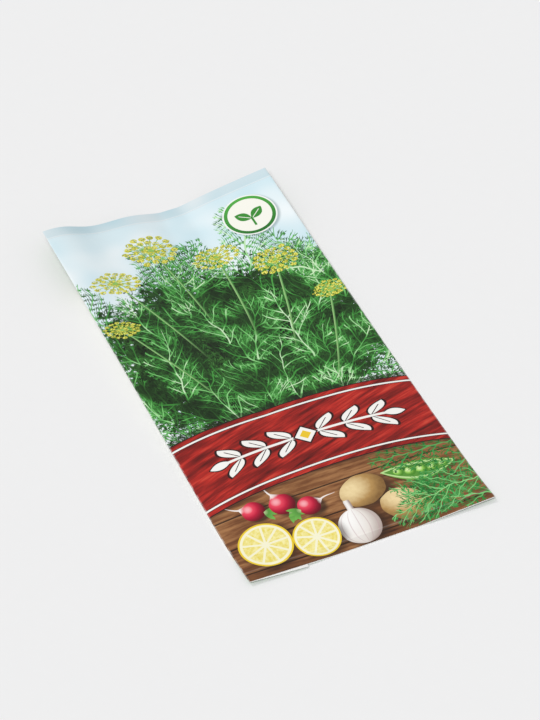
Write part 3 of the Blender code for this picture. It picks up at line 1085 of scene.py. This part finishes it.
def spray(canvas, colour):
    """A loose spray of fronds lying on the table at the right."""
    warp_x, warp_y = canvas.warped(6.0, 4.0, 31.0, 2.0)
    for number, (at_x, at_y, lean, length) in enumerate(SPRAY_FRONDS):
        along, across = leaned(warp_x - at_x, warp_y - at_y, way_of(lean))
        cover, bright = use_group("frond", along, across, length, 0.006 * (-1) ** number)
        leaf = shades(
            bright * (0.55 + 0.1 * number),
            (0.0, (0.006, 0.035, 0.008)), (0.4, (0.020, 0.250, 0.040)), (0.9, (0.300, 0.720, 0.250)))
        colour = paint(colour, cover * (along > 0) * (along < length), leaf)
    return colour


# What lies on the table, from the back of the picture to its front. First the place, across and along.
# Then a potato has its half width, half height and turn, and a pea pod its turn and length.
# Garlic and a slice of lemon have their radius, and a radish its radius and the turn of its root.
ON_THE_TABLE = [
    (potato, 5.5, -61.0, 8.0, 6.0, 0.3),
    (potato, 15.5, -71.0, 8.5, 6.2, -0.5),
    (garlic, -1.0, -73.0, 6.5),
    (lemon_slice, -29.5, -68.5, 8.2),
    (lemon_slice, -14.5, -71.8, 7.2),
    (radish, -27.5, -55.4, 3.6, 2.6),
    (radish, -18.6, -56.4, 4.0, 1.9),
    (radish, -11.5, -60.2, 3.6, 0.2),
    (pea_pod, 13.0, -58.5, -0.12, 24.0),
]


def front_colour(canvas):
    """The front panel's print, painted from the back of the picture to its front."""
    haze = canvas.noise(18.0, 18.0, 2.0, 1.0)
    sky = shades(haze - canvas.y * 0.002, (0.15, (0.56, 0.77, 0.85)), (0.6, (0.88, 0.94, 0.96)))
    colour = umbels(canvas, greens(canvas, sky))
    colour = table(canvas.after(colour), colour)
    for draw, *place_and_size in ON_THE_TABLE:
        colour = draw(canvas.after(colour), colour, *place_and_size)
    for draw in (spray, banner, badge, seal_light_and_fold_wear):
        colour = draw(canvas.after(colour), colour)
    return colour


SEAL_LINE = (HALF_LENGTH - SEAL_BAND) / MM
FOLD_LINE = HALF_WIDTH / MM
FOLD_WEAR = 0.30

# How much of the painted seal shade and crease highlight the bottom end shows
FAINT_SEAL_LIGHT = 0.12


def seal_light_and_fold_wear(canvas, colour):
    """Painted shade on the pressed seals, a painted highlight along the crease where the pressing stops, and
    pale worn folds.
    """
    past_seal = abs(canvas.y) - SEAL_LINE
    # Patchy noise: it sets the strength of the painted crease highlight and of the fold wear
    wear_and_highlight_patches = canvas.noise(0.5, 2.5, 51.0, 2.0)
    seal_light_share = FAINT_SEAL_LIGHT + (1 - FAINT_SEAL_LIGHT) * (canvas.y > 0)
    # Painted shade: each seal band is a little darker than the rest of the panel
    colour = dimmed(colour, 1 - ease(past_seal, -0.1, 0.35) * seal_light_share * 0.12)
    # Painted highlight: a pale line along the crease at each seal's inner edge
    line = ease(abs(past_seal), 0.34, 0.06) * (0.25 + wear_and_highlight_patches * 0.55) * seal_light_share
    colour = paint(colour, line, (0.88, 0.90, 0.90))
    at_fold = ease(abs(canvas.x), FOLD_LINE - FOLD_WEAR, FOLD_LINE)
    return paint(colour, at_fold * ease(wear_and_highlight_patches, 0.35, 0.75) * 0.5, (0.86, 0.86, 0.84))


# The back's print is centred on the wide flap. Across is counted from left to right as seen from behind
BACK_X = -(WIDE_EDGE_X + HALF_WIDTH) / 2 / MM
HEADER_FOOT = 57.0
FOOTER_TOP = -69.0
EMBLEM_Y = 69.0
EMBLEM_RADIUS = 7.6


def box_edge(canvas, at_x, at_y, half_width, half_height, corner):
    """How far a point is outside a box with round corners. It is negative inside."""
    over_x = greatest(abs(canvas.x - at_x) - (half_width - corner), 0.0)
    over_y = greatest(abs(canvas.y - at_y) - (half_height - corner), 0.0)
    return length_of(over_x, over_y) - corner


def back_bands(canvas, colour):
    """Arched green bands with a yellow line across both ends of the back, and a sprout at the top."""
    from_x, from_y = canvas.x - BACK_X, canvas.y - EMBLEM_Y
    sweep = from_x * (1 / 40)
    arch = 2.4 * sweep * sweep
    streak = canvas.noise(16.0, 1.6, 61.0, 3.0, 0.6, turn=0.1)
    green = shades(streak, (0.3, (0.022, 0.150, 0.024)), (0.7, (0.070, 0.330, 0.050)))
    inside = greatest(canvas.y - HEADER_FOOT + arch, FOOTER_TOP - canvas.y + arch * 0.5)
    colour = paint(colour, inside > 0, green)
    colour = paint(colour, abs(inside - 1.3) < 0.4, WARM_YELLOW)
    colour = paint(colour, length_of(from_x, from_y) < EMBLEM_RADIUS, SOFT_WHITE)
    return sprout(from_x, from_y, colour)


STAGE_Y = 39.0
STAGE_STEP = 21.0
SOIL_TOP = 35.5
SEED_DEPTH_Y = 32.2


def stage(canvas, colour, number):
    """A framed picture of the plant in the ground: a seed, a sprout or a young plant."""
    at_x = BACK_X + (number - 1) * STAGE_STEP
    edge = box_edge(canvas, at_x, STAGE_Y, 9.0, 11.5, 2.2)
    from_x, up = canvas.x - at_x, canvas.y - SOIL_TOP
    clods = canvas.noise(1.3, 1.0, 63.0, 4.0, 0.6)
    soil = shades(clods, (0.3, (0.070, 0.030, 0.012)), (0.7, (0.300, 0.160, 0.075)))
    sky = shades((canvas.y - STAGE_Y) * 0.05 + 0.5, (0.0, (0.88, 0.93, 0.88)), (1.0, (0.55, 0.78, 0.86)))
    for inset, ink in ((0.0, LEAF_GREEN), (-0.5, SOFT_WHITE), (-0.9, sky)):
        colour = paint(colour, edge < inset, ink)
    colour = paint(colour, (edge < -0.9) * (up + clods * 1.2 < 0.6), soil)
    root = (abs(from_x + sine(canvas.y * 1.1) * 0.25) < 0.18) * (up < 0) * (canvas.y > 30.5 - number)
    colour = paint(colour, root, (0.88, 0.80, 0.62))
    if number == 0:
        husk = oval(from_x, canvas.y - SEED_DEPTH_Y, 0.95, 1.7)
        colour = paint(colour, husk < 1.25, (0.030, 0.014, 0.006))
        coat = shades(
            abs(from_x), (0.0, (0.60, 0.42, 0.22)), (0.25, (0.26, 0.15, 0.06)), (0.55, (0.60, 0.42, 0.22)))
        return paint(colour, husk < 1, coat)
    if number == 1:
        return sprout(from_x, up - 5.0, colour)
    for lean in (-0.75, 0.75, -0.3, 0.3):
        along, across = leaned(from_x * 1.5, up * 1.5, way_of(lean))
        cover, bright = use_group("frond", along, across, 20.0, 0.01 * math.copysign(1, lean))
        green = shades(bright, (0.2, (0.020, 0.170, 0.020)), (1.0, (0.120, 0.480, 0.080)))
        colour = paint(colour, cover * (edge < -1.2) * (along > 0), green)
    return colour


# The calendar: a row of squares for sowing and one for picking. Each has its place along, the numbers between
# which its squares are coloured, and their colour
CALENDAR_STEP = 5.0
SQUARE_HALF = 2.2
SQUARE_RIM = 0.3
CALENDAR_ROWS = [(19.0, 2.5, 6.5, (0.060, 0.360, 0.050)), (12.5, 4.5, 8.5, (0.86, 0.40, 0.03))]


def calendar(canvas, colour):
    """Twelve squares in each of two rows, some of them coloured and the rest bare."""
    place = (canvas.x - BACK_X) * (1 / CALENDAR_STEP) + 6
    number = floor(place)
    off = abs(place - number - 0.5) * CALENDAR_STEP
    kept = (number > -0.5) * (number < 11.5)
    for at_y, first, last, ink in CALENDAR_ROWS:
        square = greatest(off, abs(canvas.y - at_y))
        within = square < SQUARE_HALF - SQUARE_RIM
        colour = paint(colour, (square < SQUARE_HALF) * kept, LEAF_GREEN)
        colour = paint(colour, within * kept, SOFT_WHITE)
        colour = paint(colour, within * (number > first) * (number < last), ink)
    return colour


# The ruled lines and the space that they fill, and the bare panel
RULE_SPACING = 6.0
RULE_HALF_WIDTH = 0.11
NOTES_Y = -11.0
NOTES_HALF_WIDTH = 29.5
NOTES_HALF_HEIGHT = 17.0
PANEL_X = BACK_X + 11.0
PANEL_Y = -50.0
PANEL_HALF_WIDTH = 18.5
PANEL_HALF_HEIGHT = 13.0


def ruled_space(canvas, colour):
    """Faint lines for the gardener's own notes, and under them a bare panel in a thin green frame."""
    place = (canvas.y + 2.0) * (1 / RULE_SPACING)
    off = abs(place - floor(place) - 0.5) * RULE_SPACING
    inside = (abs(canvas.x - BACK_X) < NOTES_HALF_WIDTH) * (abs(canvas.y - NOTES_Y) < NOTES_HALF_HEIGHT)
    colour = paint(colour, (off < RULE_HALF_WIDTH) * inside, (0.36, 0.48, 0.34))
    panel = box_edge(canvas, PANEL_X, PANEL_Y, PANEL_HALF_WIDTH, PANEL_HALF_HEIGHT, 2.0)
    colour = paint(colour, panel < 0, LEAF_GREEN)
    return paint(colour, panel < -0.4, (0.95, 0.95, 0.93))


SIGNS_X = BACK_X - 21.0
SUN_Y = -43.5
DROP_Y = -57.5
DROP_RADIUS = 3.0
DROP_HEIGHT = 6.0


def sun_and_drop(canvas, colour):
    """A yellow sun and a blue drop of water, one above the other beside the bare panel."""
    from_x, up, low = canvas.x - SIGNS_X, canvas.y - SUN_Y, canvas.y - DROP_Y
    along, off, _ = polar_fold(from_x, up, 12)
    rays = (abs(off) < 0.35) * (abs(along - 4.6) < 0.9)
    colour = paint(colour, greatest(length_of(from_x, up) < 2.9, rays), WARM_YELLOW)
    slope = math.tan(math.asin(DROP_RADIUS / DROP_HEIGHT))
    sides = (abs(from_x) < (DROP_HEIGHT - low) * slope) * (low > DROP_RADIUS ** 2 / DROP_HEIGHT)
    drop = greatest(length_of(from_x, low) < DROP_RADIUS, sides)
    colour = paint(colour, drop, (0.07, 0.36, 0.68))
    return paint(colour, length_of(from_x + 1.0, low + 0.4) < 0.7, (0.62, 0.82, 0.94))


def back_colour(canvas):
    """The back's print, turned round so that it is drawn as a viewer behind the packet sees it."""
    canvas.x = 0.0 - canvas.x
    tint = canvas.noise(20.0, 20.0, 4.0)
    colour = shades(tint, (0.3, (0.86, 0.88, 0.77)), (0.7, (0.90, 0.91, 0.82)))
    colour = back_bands(canvas.after(colour), colour)
    for number in range(3):
        colour = stage(canvas.after(colour), colour, number)
    for draw in (calendar, ruled_space, sun_and_drop, seal_light_and_fold_wear):
        colour = draw(canvas.after(colour), colour)
    return colour


def make_printed_material(name, draw):
    """Ink under clear film. The ink's colour is what draw paints on a canvas."""
    made, tree, shader = new_material(name)
    canvas = Canvas(tree)
    plug(tree, shader.inputs["Base Color"], draw(canvas))
    laminate(canvas, shader)
    return made


def make_paper_material():
    """The white paper of the sheet's inside and its cut edges."""
    made, tree, shader = new_material("paper_core")
    fibre = Canvas(tree).noise(0.6, 0.2, 6.0, 4.0)
    white = shades(fibre, (0.3, (0.80, 0.80, 0.78)), (0.7, (0.90, 0.90, 0.88)))
    plug(tree, shader.inputs["Base Color"], white)
    plug(tree, shader.inputs["Roughness"], 0.7 + fibre * 0.15)
    return made


def make_seed_material():
    """A dry brown coat with pale ribs along it."""
    made, tree, shader = new_material("dill_seed_coat")
    grain = object_noise(tree, 0.6 * MM, 3.0)
    across = map_place(tree, SEED_MAP)[1] * FURROWS
    from_rib = abs(across - maths("ROUND", across))
    coat = shades(grain, (0.3, (0.070, 0.036, 0.016)), (0.7, (0.240, 0.140, 0.065)))
    coat = paint(coat, ease(from_rib, 0.26, 0.06) * (0.3 + grain * 0.8), (0.52, 0.39, 0.23))
    plug(tree, shader.inputs["Base Color"], coat)
    plug(tree, shader.inputs["Roughness"], 0.6 + grain * 0.2)
    return made


def aim(thing, at, back):
    """Places a lamp or a camera so that it looks away from the way back."""
    thing.location = at
    thing.rotation_mode = "QUATERNION"
    thing.rotation_quaternion = back.to_track_quat("Z", "Y")


# The camera that the photograph was matched with
CAMERA_LENS = 158.35
CAMERA_AZIMUTH = math.radians(-25.03)
CAMERA_ELEVATION = math.radians(43.87)
CAMERA_DISTANCE = 980.8 * MM
CAMERA_AIM = Vector((5.06 * MM, 3.08 * MM, 0))


def make_camera():
    data = bpy.data.cameras.new("camera")
    data.lens = CAMERA_LENS
    data.clip_start = 0.01
    back = Vector((
        math.sin(CAMERA_AZIMUTH) * math.cos(CAMERA_ELEVATION),
        -math.cos(CAMERA_AZIMUTH) * math.cos(CAMERA_ELEVATION),
        math.sin(CAMERA_ELEVATION)))
    camera = in_scene("camera", data)
    aim(camera, CAMERA_AIM + back * CAMERA_DISTANCE, back)
    bpy.context.scene.camera = camera


# Each lamp is far away and even: the way towards it, its share of the floor's light, and its angular width
LAMPS = {
    "front_lamp": ((-0.36, -0.50, 0.79), 0.505, math.radians(20)),
    "back_lamp": ((-0.37, 0.34, 0.86), 0.14, math.radians(14)),
}
ROOM_LIGHT = 0.36


def make_lights():
    """An even pale studio: a soft room, a broad lamp on the camera's side and a weaker one behind."""
    world = bpy.data.worlds.new("studio")
    bpy.context.scene.world = world
    world.use_nodes = True
    background = world.node_tree.nodes["Background"]
    background.inputs["Color"].default_value = (1, 1, 1, 1)
    background.inputs["Strength"].default_value = ROOM_LIGHT
    for name, (way, share, width) in LAMPS.items():
        towards = Vector(way).normalized()
        data = bpy.data.lights.new(name, "SUN")
        data.angle = width
        data.energy = share * math.pi / towards.z
        aim(in_scene(name, data), towards, towards)


FLOOR_SIZE = 3.0


def make_floor():
    """A plain pale surface, far wider than the view."""
    half = FLOOR_SIZE / 2
    points = np.array([(-half, -half, 0), (half, -half, 0), (half, half, 0), (-half, half, 0)])
    surface = make_piece("surface", points, [(0, 1, 2, 3)], {})
    made, tree, shader = new_material("pale_surface")
    speck = object_noise(tree, 4 * MM, 2.0)
    pale = shades(speck, (0.0, (0.855, 0.855, 0.858)), (1.0, (0.865, 0.865, 0.868)))
    plug(tree, shader.inputs["Base Color"], pale)
    shader.inputs["Roughness"].default_value = 0.9
    shader.inputs["Specular IOR Level"].default_value = 0.1
    surface.data.materials.append(made)


bpy.context.scene.view_settings.view_transform = "Standard"
make_camera()
make_lights()
make_floor()
formula_group("frond", ["Along", "Across", "Length", "Bend"], frond_formula)
formula_group("frond_layer", ["X", "Y", "Turn", "Shift X", "Shift Y", "Seed"], frond_layer_formula)
formula_group("umbel", ["X", "Y", "Radius", "Seed"], umbel_formula)

sheet = make_sheet()
sheet.data.materials.append(make_printed_material("printed_front", front_colour))
sheet.data.materials.append(make_printed_material("printed_back", back_colour))
sheet.data.materials.append(make_paper_material())
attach(sheet, "root")
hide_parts("packet_sheet")

seeds = make_seeds()
seeds.data.materials.append(make_seed_material())
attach(seeds, "root")
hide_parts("seeds")

bpy.context.view_layer.update()
